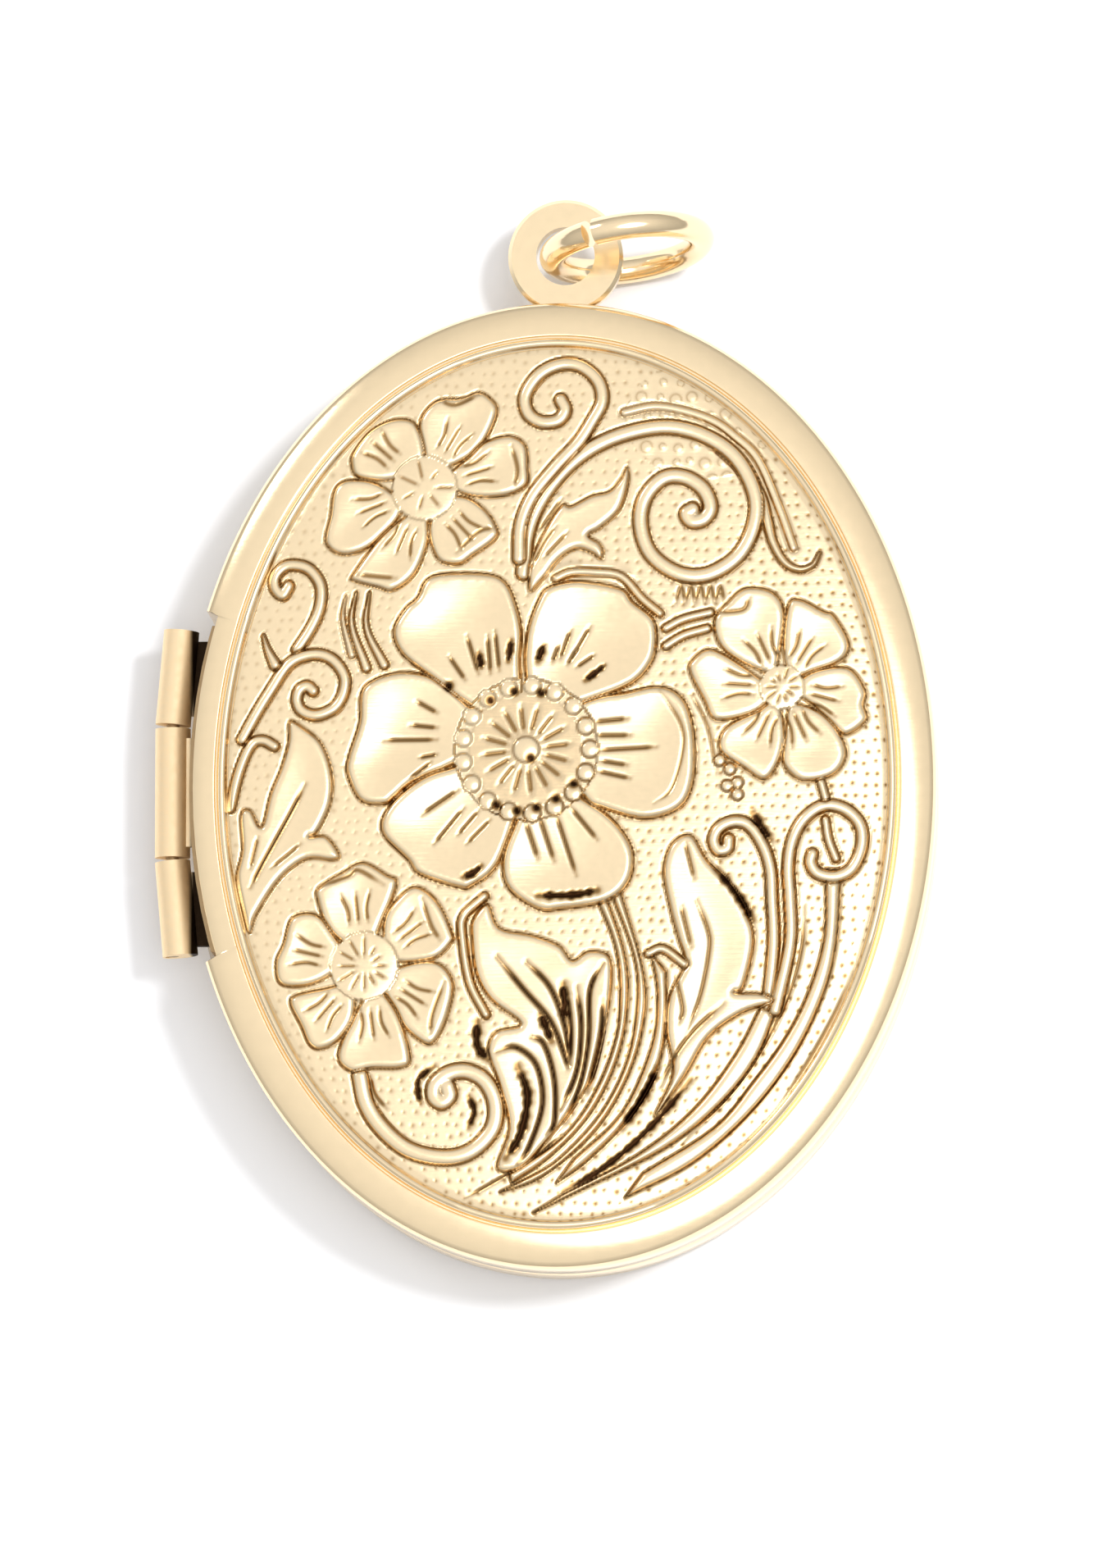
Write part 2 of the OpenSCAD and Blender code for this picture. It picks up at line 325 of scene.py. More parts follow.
stem([(1.2, -3.6), (1.95, -5.4), (2.15, -7.0), (2.0, -8.6), (1.3, -10.4), (0.2, -11.9),
      (-1.6, -13.1)],
     [(1.6, -3.6), (2.35, -6.0), (2.35, -8.0), (1.9, -9.7), (1.0, -11.3), (-0.3, -12.6),
      (-1.5, -13.4)])
cut([(-3.1, -13.9), (-2.0, -13.3), (-0.7, -12.5), (0.2, -11.8)], dark=1)
cut([(3.4, -9.6), (2.9, -10.6), (2.2, -11.6)], width=0.13, dark=1.7)
cut([(4.5, -10.0), (3.6, -11.1), (2.5, -12.2), (1.3, -13.1), (0.2, -13.7)], width=0.11, dark=1.7)
print("highest stem, mm", round(rise.max(), 2))

# %% [markdown]
# ## Scrolls
# The scrolls are ribbons of one width that curl up at their ends. A ribbon only needs the line
# along its middle.

# %% Draw the scrolls
band([(2.3, 12.4), (3.3, 12.6), (4.3, 12.45), (5.3, 12.1), (6.0, 11.6), (6.8, 10.8), (7.5, 9.2),
      (8.0, 7.8)], 0.3, 0.08, 0.4)
band([(5.6, 11.2), (6.3, 10.5), (6.85, 9.6), (7.1, 8.8), (7.3, 8.0), (7.7, 7.3), (8.2, 7.05),
      (8.65, 7.2), (8.87, 7.6)], 0.5, taper=True)
band([(-1.1, 7.0), (-1.0, 8.2), (-0.6, 9.3), (0.2, 10.4), (1.2, 11.2), (2.4, 11.7), (3.8, 11.9),
      (5.1, 11.55), (6.1, 10.8), (6.7, 9.6), (6.65, 8.5), (6.1, 7.5), (5.1, 6.9), (4.1, 6.95),
      (3.2, 7.6), (2.85, 8.6), (3.0, 9.5), (3.6, 10.15), (4.3, 10.2), (4.95, 9.8), (5.2, 9.2),
      (5.0, 8.8), (4.6, 8.7), (4.4, 8.95), (4.6, 9.1)], 0.52)
band([(-1.25, 7.5), (-1.2, 8.6), (-0.8, 9.6), (0, 10.6), (0.75, 11.4), (1.2, 12.1), (1.55, 12.8),
      (1.4, 13.5), (0.8, 14.0), (0.1, 14.05), (-0.6, 13.7), (-1.05, 13.0), (-0.95, 12.4),
      (-0.5, 12.1), (0.05, 12.15), (0.3, 12.5), (0.15, 12.85)], 0.46)
band([(-9.05, 6.65), (-9.25, 6.35), (-9.5, 6.6), (-9.5, 7.0), (-9.2, 7.3), (-8.8, 7.35),
      (-8.35, 7.2), (-8.0, 6.75), (-7.93, 6.25), (-8.05, 5.7), (-8.35, 5.1), (-8.75, 4.5)], 0.4)
band([(-10.6, 1.5), (-10.1, 2.4), (-9.6, 3.2), (-9.1, 3.95), (-8.6, 4.25), (-8.0, 4.32),
      (-7.5, 4.1), (-7.15, 3.6), (-7.15, 3.1), (-7.4, 2.6), (-7.8, 2.35), (-8.2, 2.28),
      (-8.6, 2.45), (-8.75, 2.8), (-8.65, 3.15), (-8.4, 3.25), (-8.2, 3.1)], 0.4)
band([(-9.5, 4.0), (-9.75, 4.5), (-9.9, 5.0)], 0.4, taper=True)
band([(-11.0, -0.8), (-10.7, 0.4), (-10.3, 1.3), (-9.9, 1.45), (-9.5, 1.25)], 0.36)
band([(-6.6, -9.8), (-6.4, -10.7), (-5.9, -11.5), (-5.1, -12.2), (-4.2, -12.5), (-3.3, -12.5),
      (-2.6, -12.15), (-2.1, -11.5), (-2.05, -10.7), (-2.4, -10.0), (-3.0, -9.68), (-3.6, -9.75),
      (-4.05, -10.1), (-4.1, -10.5), (-3.85, -10.7), (-3.6, -10.5), (-3.65, -10.2)], 0.55)
cut([(-6.25, -9.8), (-6.1, -10.4), (-5.7, -10.9)])
cut([(-2.95, -10.5), (-2.75, -11.0), (-2.95, -11.55)], width=0.1, dark=1.6)
cut([(-4.1, -9.5), (-4.6, -9.9), (-4.65, -10.3), (-4.55, -10.75)], width=0.1, dark=1.6)
band([(7.1, -7.5), (7.3, -5.5), (7.25, -4.0), (7.2, -3.0), (6.95, -2.2), (6.5, -1.55), (6.0, -1.4),
      (5.5, -1.6), (5.3, -2.0), (5.45, -2.35), (5.75, -2.3), (5.8, -2.0)], 0.42)
band([(7.35, -7.7), (7.85, -5.5), (7.85, -4.0), (7.8, -2.9), (7.95, -2.0), (8.35, -1.3),
      (9.0, -0.88), (9.7, -1.0), (10.2, -1.5), (10.27, -2.2), (9.95, -2.95), (9.4, -3.25),
      (8.8, -3.15), (8.55, -2.8), (8.6, -2.5)], 0.42)
band([(9.05, -1.35), (9.15, -2.0), (9.4, -2.65)], 0.3, 0.12)
band([(8.85, 0.1), (9.05, -0.6)], 0.3, 0.12)
print("highest scroll, mm", round(rise.max(), 2))

# %% [markdown]
# ## Leaves
# Long leaves fill the room between the flowers. Each is an outline, a midrib and a few veins.

# %% Leaves round the edge
leaf([(-0.9, 6.4), (-0.85, 7.4), (-0.3, 8.6), (0.2, 9.3), (0.5, 9.25), (1.2, 9.6), (1.8, 9.75),
      (2.2, 10.2), (2.4, 10.55), (2.45, 10.0), (2.15, 9.1), (1.5, 8.5), (1.1, 8.25), (1.45, 8.0),
      (1.6, 7.7), (1.5, 7.45), (1.2, 7.65), (0.7, 7.8), (0.1, 7.45), (-0.5, 6.7)])
relax()
cut([(0, 8.55), (-0.4, 8.0), (-0.8, 7.2)])
cut([(0.4, 8.35), (-0.4, 7.5)])
cut([(0.2, 9.5), (-0.6, 8.4)])
ridge([(-0.1, 6.9), (0.5, 7.15), (1.0, 7.0), (1.8, 6.9), (2.3, 6.85)], 0.2, 0.12)
leaf([(-9.0, 2.1), (-8.5, 1.85), (-7.9, 1.3), (-7.55, 0.3), (-7.6, -0.7), (-8.05, -1.65),
      (-8.3, -1.8), (-7.75, -1.8), (-7.3, -2.4), (-7.5, -2.6), (-8.4, -2.55), (-9.3, -3.2),
      (-10.1, -4.4), (-10.35, -5.0), (-10.6, -4.2), (-10.8, -3.2), (-10.6, -2.2), (-10.65, -1.0),
      (-10.3, -0.9), (-9.95, -1.45), (-9.65, -0.35), (-9.3, 0.5), (-9.05, 1.4)])
relax()
cut([(-8.45, -0.05), (-9.0, -1.1), (-9.9, -2.7), (-10.3, -3.5)], width=0.08, dark=1)
cut([(-10.05, -1.8), (-10.3, -2.85)])
cut([(-8.6, -2.05), (-9.6, -2.85)])
band([(-6.4, 3.85), (-6.9, 5.3), (-6.75, 6.4)], 0.34, 0.12, taper=True)
band([(-5.8, 3.95), (-6.4, 5.2), (-6.3, 6.4)], 0.34, 0.12, taper=True)
band([(-6.9, 4.3), (-7.2, 5.5), (-7.1, 6.3)], 0.28, 0.08, 0.5, taper=True)
# painted shade: the share of the face painted darker than one half
print("dirt covers", round(float((shade_paint > 0.5).mean()) * 100), "% of the face")

# %% The leaf at the foot
leaf([(-2.3, -4.1), (-2.8, -4.6), (-2.85, -5.2), (-2.7, -6.4), (-2.2, -7.3), (-1.2, -8.1),
      (-2.0, -8.35), (-2.3, -9.0), (-1.9, -10.2), (-1.6, -11.6), (-2.0, -12.9), (-1.2, -12.9),
      (-0.3, -12.0), (0.5, -11.0), (1.2, -9.9), (1.6, -8.4), (1.85, -7.0), (1.8, -5.9),
      (1.1, -5.7), (0.55, -6.0), (0.1, -5.5), (-0.8, -5.15), (-1.9, -4.9)], 0.2, 0.05)
band([(-2.4, -3.85), (-3.1, -4.5), (-3.15, -5.2), (-2.9, -6.7), (-2.35, -7.8)], 0.3, 0.2)
relax()
for blade in (
    [(-2.0, -5.85), (-1.1, -6.95), (-0.2, -8.0), (0.3, -9.2), (0.4, -9.6)],
    [(-1.0, -6.05), (-0.2, -6.9), (0.3, -8.2), (0.45, -9.5)],
    [(0.35, -6.95), (0.5, -8.3), (0.45, -9.5)],
    [(0.7, -6.9), (0.85, -8.2), (0.7, -9.7), (0.15, -11.0)],
    [(1.6, -6.1), (1.15, -7.0), (1.1, -8.6), (0.8, -10.2), (0.3, -11.4)],
    [(1.6, -7.3), (1.5, -8.6), (1.05, -10.4)],
    [(-0.85, -8.55), (-0.4, -8.8), (-0.05, -10.0), (-0.05, -11.4), (-0.3, -11.8)],
    [(-2.0, -9.05), (-1.35, -8.9), (-0.65, -9.5), (-0.45, -10.8), (-0.9, -12.2), (-1.3, -12.8)],
):
    cut(blade, 0.08, 0.1, 1.2)
for pool in (
    [(-1.3, -9.5), (-0.95, -10.5), (-1.2, -11.8), (-1.7, -12.6)],
    [(-2.65, -8.0), (-2.65, -8.8), (-2.3, -9.3)],
    [(0.25, -6.8), (0.3, -8.0)],
    [(-0.5, -7.8), (-0.15, -8.7)],
):
    cut(pool, 0.13, 0.12, 1.8)
print("blades drawn")

# %% The broad leaf at the right
leaf([(4.55, -1.85), (3.9, -2.1), (3.6, -3.0), (3.8, -4.2), (4.1, -5.3), (4.3, -6.15),
      (3.8, -7.2), (3.7, -8.4), (3.9, -9.8), (3.3, -11.2), (4.3, -9.9), (5.1, -8.6), (6.2, -7.8),
      (7.25, -7.45), (6.9, -7.15), (6.0, -7.1), (6.3, -6.9), (6.65, -5.4), (6.4, -4.4),
      (5.8, -3.4), (5.1, -2.7)], 0.22, 0.06)
band([(4.3, -6.15), (3.6, -5.65), (3.1, -5.8)], 0.3, 0.16)
relax()
cut([(4.7, -4.0), (5.1, -5.0), (5.15, -5.7), (4.85, -7.2), (4.35, -8.5)])
cut([(5.6, -7.5), (4.7, -8.3), (4.0, -9.2), (3.5, -10.2)], width=0.09)
cut([(4.35, -2.1), (4.65, -3.3)])
cut([(4.2, -4.2), (4.55, -5.6)])
cut([(4.0, -6.5), (4.25, -7.6), (4.15, -8.1)])
cut([(5.4, -3.0), (6.2, -4.0), (6.6, -4.7)], width=0.12, dark=2)
cut([(6.6, -1.1), (7.2, -2.0)], width=0.13, dark=1.7)
for notch in range(5):
    x = 4.05 + 0.33 * notch
    cut([(x, 5.95), (x + 0.16, 6.5), (x + 0.3, 6.0)], 0.06)
print("broad leaf drawn")

# %% [markdown]
# ## Flowers
# Three small flowers and one large one. The petals of a flower are leaves that sink towards its
# heart, so that the light runs down into it; a curled rim is one more bright line.


# %% A small flower
def flower(centre, petals, folds, heart, rays, height=0.21):
    """Petals round a heart: a raised disc with strokes running out of it."""
    x, y = centre
    for petal in petals:
        leaf(petal, height, 0.1, (x, y * LENGTHEN, 2.6, 0.5))
    relax()
    for fold in folds:
        cut(fold, 0.07, 0.06, 0.7)
    for petal in petals:
        middle = np.mean(petal, 0)
        way = (middle - centre) / np.hypot(*(middle - centre))
        side = np.array([-way[1], way[0]])
        for spread in (-0.4, 0, 0.4):
            start = centre + way * heart * 1.25 + side * spread * 0.8
            cut([start, start + way * 0.5, start + way * 1.05 + side * spread * 0.5], 0.055, 0.05)
    bead(x, y, heart, 0.06, 0.2)
    for k in range(rays):
        turn = 2 * math.pi * k / rays
        ray = np.array([math.cos(turn), math.sin(turn)])
        start = heart * chance.uniform(0.2, 0.4)
        stop = heart * chance.uniform(0.55, 0.95)
        cut([centre + ray * start, centre + ray * stop], 0.05, 0.05, 0.6)


FLOWER_A = [
    [(-4.65, 12.0), (-4.1, 12.85), (-3.2, 12.95), (-2.6, 13.15), (-2.1, 12.8), (-2.0, 12.4),
     (-2.4, 11.5), (-3.0, 10.9), (-4.2, 10.6)],
    [(-4.7, 12.0), (-5.4, 12.27), (-6.3, 11.9), (-6.85, 11.2), (-6.95, 10.8), (-6.7, 10.3),
     (-5.6, 10.2), (-4.5, 10.7)],
    [(-6.0, 10.05), (-7.0, 10.22), (-7.5, 9.9), (-7.65, 9.0), (-7.8, 8.1), (-7.2, 7.68),
     (-6.2, 8.0), (-5.2, 9.2)],
    [(-5.85, 8.35), (-6.85, 7.05), (-6.85, 6.8), (-6.0, 6.55), (-5.5, 6.45), (-4.8, 6.95),
     (-4.4, 7.8), (-4.3, 8.5), (-4.6, 9.2)],
    [(-4.3, 8.5), (-4.0, 7.5), (-3.3, 7.3), (-2.8, 7.6), (-2.0, 8.2), (-2.05, 8.65),
     (-2.45, 9.2), (-3.1, 9.6), (-3.9, 9.5)],
    [(-2.95, 10.95), (-2.4, 11.45), (-1.6, 11.65), (-1.05, 11.35), (-0.95, 10.6), (-1.0, 9.95),
     (-1.8, 9.6), (-3.0, 9.65), (-3.7, 10.2)],
]
flower((-4.45, 9.9), FLOWER_A, [
    [(-3.9, 12.85), (-3.4, 12.7), (-2.6, 13.05)], [(-6.7, 6.98), (-5.4, 6.85)],
    [(-3.35, 7.7), (-2.6, 8.4), (-2.1, 8.5)], [(-1.5, 11.3), (-1.3, 10.5), (-1.4, 9.9)],
], 1.1, 7)
print("flower A drawn")

# %% Two more small flowers
FLOWER_B = [
    [(5.7, 4.3), (5.3, 5.3), (5.8, 6.0), (6.4, 6.45), (7.3, 6.3), (7.7, 5.6), (7.55, 4.4),
     (7.2, 3.6)],
    [(7.65, 4.4), (7.8, 5.85), (8.2, 6.05), (9.0, 5.65), (9.35, 5.5), (9.85, 4.6), (9.6, 4.0),
     (8.6, 3.6), (7.9, 3.5)],
    [(8.6, 3.6), (9.8, 3.75), (10.4, 3.0), (10.35, 2.5), (10.45, 2.0), (9.9, 1.55), (9.5, 1.6),
     (8.8, 2.35), (8.1, 3.0)],
    [(9.5, 1.6), (9.75, 0.8), (9.3, 0.15), (8.3, -0.05), (7.7, 0.4), (7.6, 0.9), (7.7, 1.6),
     (7.9, 2.5), (8.8, 2.3)],
    [(6.75, 2.3), (5.7, 1.75), (5.5, 1.0), (6.3, 0.4), (7.0, 0.0), (7.5, 0.6), (7.7, 1.6),
     (7.4, 2.6)],
    [(6.3, 3.8), (5.2, 4.4), (4.55, 4.0), (4.5, 3.6), (4.95, 2.7), (5.4, 2.0), (6.75, 2.3),
     (7.2, 3.0)],
]
band([(3.7, 5.1), (4.3, 5.4), (5.2, 5.62)], 0.3, 0.12)
band([(3.7, 4.5), (4.3, 4.85), (5.1, 5.08)], 0.3, 0.12)
flower((7.6, 3.1), FLOWER_B, [[(5.4, 5.6), (6.3, 5.7), (6.5, 6.1)]], 0.75, 10)
cut([(4.55, 2.9), (5.1, 1.8), (5.4, 0.25)], 0.06, 0.05, 0.6)
for x, y in ((5.5, 0.65), (5.85, 0.35), (6.1, -0.1), (5.75, -0.2), (6.1, -0.5)):
    bead(x, y, 0.2, 0.1)
FLOWER_C = [
    [(-7.6, -5.0), (-8.05, -3.9), (-8.0, -3.5), (-7.2, -3.0), (-6.5, -2.68), (-5.7, -3.1),
     (-5.35, -3.4), (-5.85, -4.7), (-6.4, -5.6)],
    [(-5.8, -4.65), (-5.3, -3.85), (-4.7, -3.5), (-4.0, -4.0), (-3.5, -5.0), (-3.5, -5.4),
     (-4.2, -5.95), (-5.6, -5.9)],
    [(-5.0, -6.1), (-4.0, -6.05), (-3.45, -6.7), (-3.6, -7.7), (-4.0, -8.6), (-4.4, -8.75),
     (-5.1, -8.2), (-5.4, -7.6), (-5.9, -6.6)],
    [(-6.8, -7.8), (-7.35, -9.1), (-6.9, -9.65), (-6.2, -9.57), (-5.2, -9.55), (-4.9, -9.2),
     (-5.3, -7.8), (-6.1, -6.9)],
    [(-7.9, -6.9), (-8.8, -7.1), (-8.95, -7.4), (-8.6, -8.1), (-8.3, -8.75), (-7.9, -8.9),
     (-7.3, -8.6), (-6.8, -7.8), (-6.9, -6.8)],
    [(-7.55, -5.0), (-8.1, -4.4), (-8.9, -4.5), (-9.2, -5.4), (-9.45, -6.0), (-9.3, -6.7),
     (-8.5, -6.8), (-7.7, -6.5), (-7.1, -5.9)],
]
flower((-6.45, -6.15), FLOWER_C, [
    [(-8.0, -3.5), (-7.0, -3.15), (-6.65, -2.95), (-5.8, -3.45)],
    [(-4.5, -3.9), (-4.2, -4.8), (-3.9, -5.3)], [(-3.75, -6.7), (-4.15, -7.8), (-4.2, -8.4)],
], 1.15, 12)
print("flowers B and C drawn")

# %% The petals of the large flower
HEART = (-1.0, 1.05)
BIG_PETALS = [
    [(-4.0, 3.45), (-5.3, 3.7), (-6.5, 3.2), (-6.65, 2.0), (-7.0, 0.9), (-7.05, 0.3),
     (-6.6, -0.6), (-5.8, -0.75), (-5.4, -0.5), (-4.8, 0.0), (-3.6, 0.5), (-2.2, 1.4),
     (-3.0, 2.6)],
    [(-1.9, -2.7), (-2.8, -3.5), (-3.3, -3.55), (-4.6, -3.1), (-5.0, -2.6), (-5.85, -1.7),
     (-5.7, -0.9), (-4.8, -0.05), (-3.8, 0.4), (-2.2, 0.6), (-1.3, -0.6)],
    [(0.9, -0.6), (2.0, -1.4), (2.6, -2.4), (2.45, -3.4), (1.7, -4.05), (0.2, -4.3),
     (-0.6, -4.3), (-1.6, -3.6), (-1.8, -2.6), (-1.35, -1.35), (-0.8, 0.1)],
    [(0.8, 2.6), (2.3, 2.95), (3.5, 3.15), (4.3, 2.7), (4.65, 1.6), (4.65, 0.1), (4.2, -0.9),
     (3.0, -1.3), (1.6, -0.95), (0.95, -0.55), (0.2, 1.0)],
    [(-1.0, 4.9), (-0.6, 6.1), (-0.2, 6.55), (0.8, 6.72), (2.2, 6.45), (2.6, 6.0), (3.3, 5.4),
     (3.4, 4.6), (3.2, 3.9), (2.5, 3.2), (0.9, 2.6), (-0.4, 2.2), (-1.0, 3.4)],
    [(-1.2, 4.2), (-1.15, 5.0), (-1.3, 5.8), (-1.7, 6.7), (-2.5, 7.0), (-4.2, 6.93),
     (-4.7, 6.2), (-5.1, 5.85), (-5.5, 5.1), (-5.2, 4.3), (-4.2, 3.5), (-2.6, 2.4),
     (-1.3, 2.4)],
]
for petal in BIG_PETALS:
    leaf(petal, 0.3, 0.15, (HEART[0], HEART[1] * LENGTHEN, 4.6, 0.66))
relax(150)
band([(0.0, 6.8), (0.5, 7.0), (1.3, 7.0), (2.2, 6.85), (2.9, 6.1), (3.5, 5.6)], 0.3, 0.16, 0.6)
cut([(3.5, 3.0), (4.2, 1.9), (4.28, 1.0), (3.9, -0.3), (3.3, -0.8)], 0.06, 0.05, 0.6)
cut([(-0.6, -3.85), (0.5, -3.85), (1.4, -3.7)], 0.11, 0.1, 2.2)
cut([(-3.1, -3.2), (-2.8, -3.1), (-2.5, -2.85)], 0.11, 0.1, 2)
print("large petals drawn")

# %% The veins of the large flower
VEINS = [
    [(-3.6, 4.2), (-3.05, 3.4)], [(-3.0, 4.9), (-2.6, 3.6)], [(-2.3, 4.9), (-2.2, 3.6)],
    [(-2.05, 5.05), (-1.9, 3.7)], [(-0.1, 4.0), (0.1, 4.55)], [(0.15, 4.1), (0.5, 5.05)],
    [(0.4, 3.9), (0.7, 4.4)], [(0.6, 4.2), (1.15, 5.15)], [(0.7, 3.8), (1.3, 4.2)],
    [(1.3, 1.95), (2.4, 2.05)], [(1.35, 1.5), (2.5, 1.5)], [(1.4, 1.0), (3.4, 1.1)],
    [(1.5, 0.65), (2.4, 0.5)], [(1.4, 0.3), (2.5, 0.05)], [(-1.0, -1.4), (-0.6, -2.6)],
    [(-0.55, -1.2), (-0.05, -2.7)], [(0, -1.1), (0.7, -3.2)], [(0.5, -0.9), (1.4, -2.0)],
    [(-3.3, -0.3), (-4.5, -1.1)], [(-3.1, -0.9), (-4.1, -2.1)], [(-2.6, -1.0), (-3.3, -1.8)],
    [(-2.2, -1.3), (-3.0, -2.1)], [(-4.7, 2.7), (-4.0, 2.3)], [(-4.9, 1.9), (-4.0, 1.8)],
    [(-5.8, 1.4), (-4.0, 1.4)], [(-4.6, 0.8), (-4.0, 0.9)], [(-4.9, 0.1), (-4.2, 0.65)],
]
for vein in VEINS:
    cut(vein, 0.065, 0.07, 0.95)
for bar in ([(-2.6, 4.3), (-2.5, 3.8)], [(-1.5, 4.7), (-1.6, 4.0)], [(-0.6, 4.0), (-0.4, 4.55)],
            [(1.0, 3.35), (1.65, 3.85)]):
    cut(bar, 0.1, 0.09, 2)
print("veins", len(VEINS))

# %% The heart of the large flower
BEAD_RING = 2.15
BEADS = 17
hollow = np.hypot(grid_x - HEART[0], grid_y - HEART[1] * LENGTHEN)
rise[hollow < BEAD_RING - 0.2] = 0.09
# the hollow inside the bead ring gets a faint painted shade
shade_paint[hollow < BEAD_RING - 0.2] = 0.15
rise[(hollow > BEAD_RING - 0.2) & (hollow < BEAD_RING + 0.25)] = 0.06
# painted shade round each bead, heaviest on the lower right of the ring
for k in range(BEADS):
    turn = 2 * math.pi * k / BEADS
    bead(HEART[0] + BEAD_RING * math.cos(turn), HEART[1] + BEAD_RING * math.sin(turn), 0.3, 0.12,
         0.35 + 0.25 * math.cos(turn + 0.8))
for k in range(16):
    turn = 2 * math.pi * (k + 0.3) / 16
    ray = np.array([math.cos(turn), math.sin(turn)])
    cut([HEART + ray * 0.6, HEART + ray * 1.05, HEART + ray * 1.5], 0.075, 0.07, 0.75)
bead(HEART[0], HEART[1], 0.45, 0.14, 0.4)
for x, y in ((-1.4, 3.0), (-2.2, 2.7), (-0.5, 2.95), (-3.6, 3.2), (0.6, -0.1), (0, -0.6),
             (-0.65, -0.9), (-1.3, -1.0), (-2.0, -0.8), (-0.85, 0.75)):
    fleck(x, y, 0.15)
print("beads", BEADS, "highest point, mm", round(rise.max(), 2))

# %% [markdown]
# ## The embossed face as a mesh
# The grid becomes a mesh lying on a low dome. It is given a thin underside, so that it is a real
# sheet of metal and not a paper surface.

# %% Build the face
FIELD_DROP = 0.66  # from the highest metal down to the edge of the embossed face
FIELD_Z = top_z - FIELD_DROP
DOME = 0.3


def make_mesh(name, points, faces):
    """An object from points in millimetres."""
    mesh = bpy.data.meshes.new(name)
    mesh.from_pydata([tuple(p) for p in np.array(points) * MM], [], faces)
    mesh.update()
    thing = bpy.data.objects.new(name, mesh)
    bpy.context.scene.collection.objects.link(thing)
    mesh.shade_smooth()
    return thing


SOFTEN = 0.75  # share of the drawn height that is left after polishing
round_off = (grid_x / FIELD_W) ** 2 + (grid_y / FIELD_L) ** 2
level = (1 - round_off).clip(0, 1)
face_z = FIELD_Z + DOME * level**0.6 + SOFTEN * rise * (level * 30).clip(0, 1)
face_z = face_z.clip(FIELD_Z - 0.1, top_z - 0.01)
sheet = np.column_stack([grid_x, grid_y, face_z]).reshape(STEPS_Y + 1, STEPS_X + 1, 3)
facing = np.cross(np.gradient(sheet, axis=1), np.gradient(sheet, axis=0))
facing /= np.linalg.norm(facing, axis=2, keepdims=True) + 1e-12
# painted shade, kept for the mesh
shade_paint_grid = shade_paint.clip(0, 1).reshape(STEPS_Y + 1, STEPS_X + 1)
wide = STEPS_X + 1
UNDERSIDE = 0.3


def half_face(name, first, last):
    """The rows of the sheet from first to last, with a side and an underside."""
    tall = last - first
    points = sheet[first : last + 1].reshape(-1, 3)
    faces = []
    for j in range(tall):
        for i in range(STEPS_X):
            a = j * wide + i
            faces.append((a, a + 1, a + wide + 1, a + wide))
    rim = [i for i in range(wide)]
    rim += [j * wide + STEPS_X for j in range(1, tall + 1)]
    rim += [tall * wide + i for i in range(STEPS_X - 1, -1, -1)]
    rim += [j * wide for j in range(tall - 1, 0, -1)]
    under = len(points)
    below = points[rim].copy()
    below[:, 2] = FIELD_Z - UNDERSIDE
    points = np.vstack([points, below, [[0, below[:, 1].mean(), FIELD_Z - UNDERSIDE]]])
    middle = len(points) - 1
    for k in range(len(rim)):
        n = (k + 1) % len(rim)
        faces.append((rim[n], rim[k], under + k, under + n))
        faces.append((under + n, under + k, middle))
    thing = make_mesh(name, points, faces)
    plain = np.zeros((len(rim) + 1, 3))
    normals = np.vstack([facing[first : last + 1].reshape(-1, 3), plain])
    thing.data.normals_split_custom_set_from_vertices([tuple(v) for v in normals])
    # the painted shade goes onto the mesh as a point attribute
    painted_shade = thing.data.attributes.new("painted_shade", "FLOAT", "POINT")
    values = np.concatenate([shade_paint_grid[first : last + 1].ravel(), plain[:, 0]])
    painted_shade.data.foreach_set("value", values)
    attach(thing, "front_half")
    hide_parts("front_cover")
    print(name, "triangles", sum(len(f) - 2 for f in faces))
    return thing


face_halves = [
    half_face("relief_lower", 0, STEPS_Y // 2),
    half_face("relief_upper", STEPS_Y // 2, STEPS_Y),
]

# %% [markdown]
# ## The edge of the cover, and the back
# Pressed sheet has no sharp corners: the band rolls over into the wall, and the wall turns in at
# the closing edge. Both halves are one profile carried round the oval. At the hinge the wall
# stands back, and the frame's front cover says how far, so every point there is pushed in to
# the same line.

# %% A profile carried round the oval
NOTCH_IN = half_w + front_low[0] / MM
NOTCH_END = 0.4  # free length of notch past each end of the hinge
NOTCH_HALF = hinge_high[1] / MM + NOTCH_END
ROUND_STEPS = 240


def oval_turns():
    """Angles round the oval, with four of them set on the ends of the notch."""
    turns = list(2 * math.pi * np.arange(ROUND_STEPS) / ROUND_STEPS)
    for side in (-1, 1):
        for offset in (-0.0015, 0.0015):
            turns.append(math.pi + side * math.asin(NOTCH_HALF / half_l) + offset)
    return sorted(turns)


TURNS = oval_turns()


def carry_round(profile, notch_from, notch_to, closed=True):
    """A mesh of the profile [(inset, height)] carried round the oval."""
    points = []
    for inset, z in profile:
        for turn in TURNS:
            y = (half_l - inset) * math.sin(turn)
            x = (half_w - inset) * math.cos(turn)
            if x < 0 and abs(half_l * math.sin(turn)) < NOTCH_HALF and notch_from < z < notch_to:
                pushed = max(inset, NOTCH_IN)
                x = (half_w - pushed) * math.cos(turn)
                y = (half_l - pushed) * math.sin(turn)
            points.append((x, y, z))
    n = len(TURNS)
    rows = len(profile)
    faces = []
    for k in range(rows if closed else rows - 1):
        m = (k + 1) % rows
        for i in range(n):
            j = (i + 1) % n
            faces.append((k * n + i, m * n + i, m * n + j, k * n + j))
    return points, faces


print("turns", len(TURNS), "notch, mm", round(2 * NOTCH_HALF, 2), "deep", round(NOTCH_IN, 2))

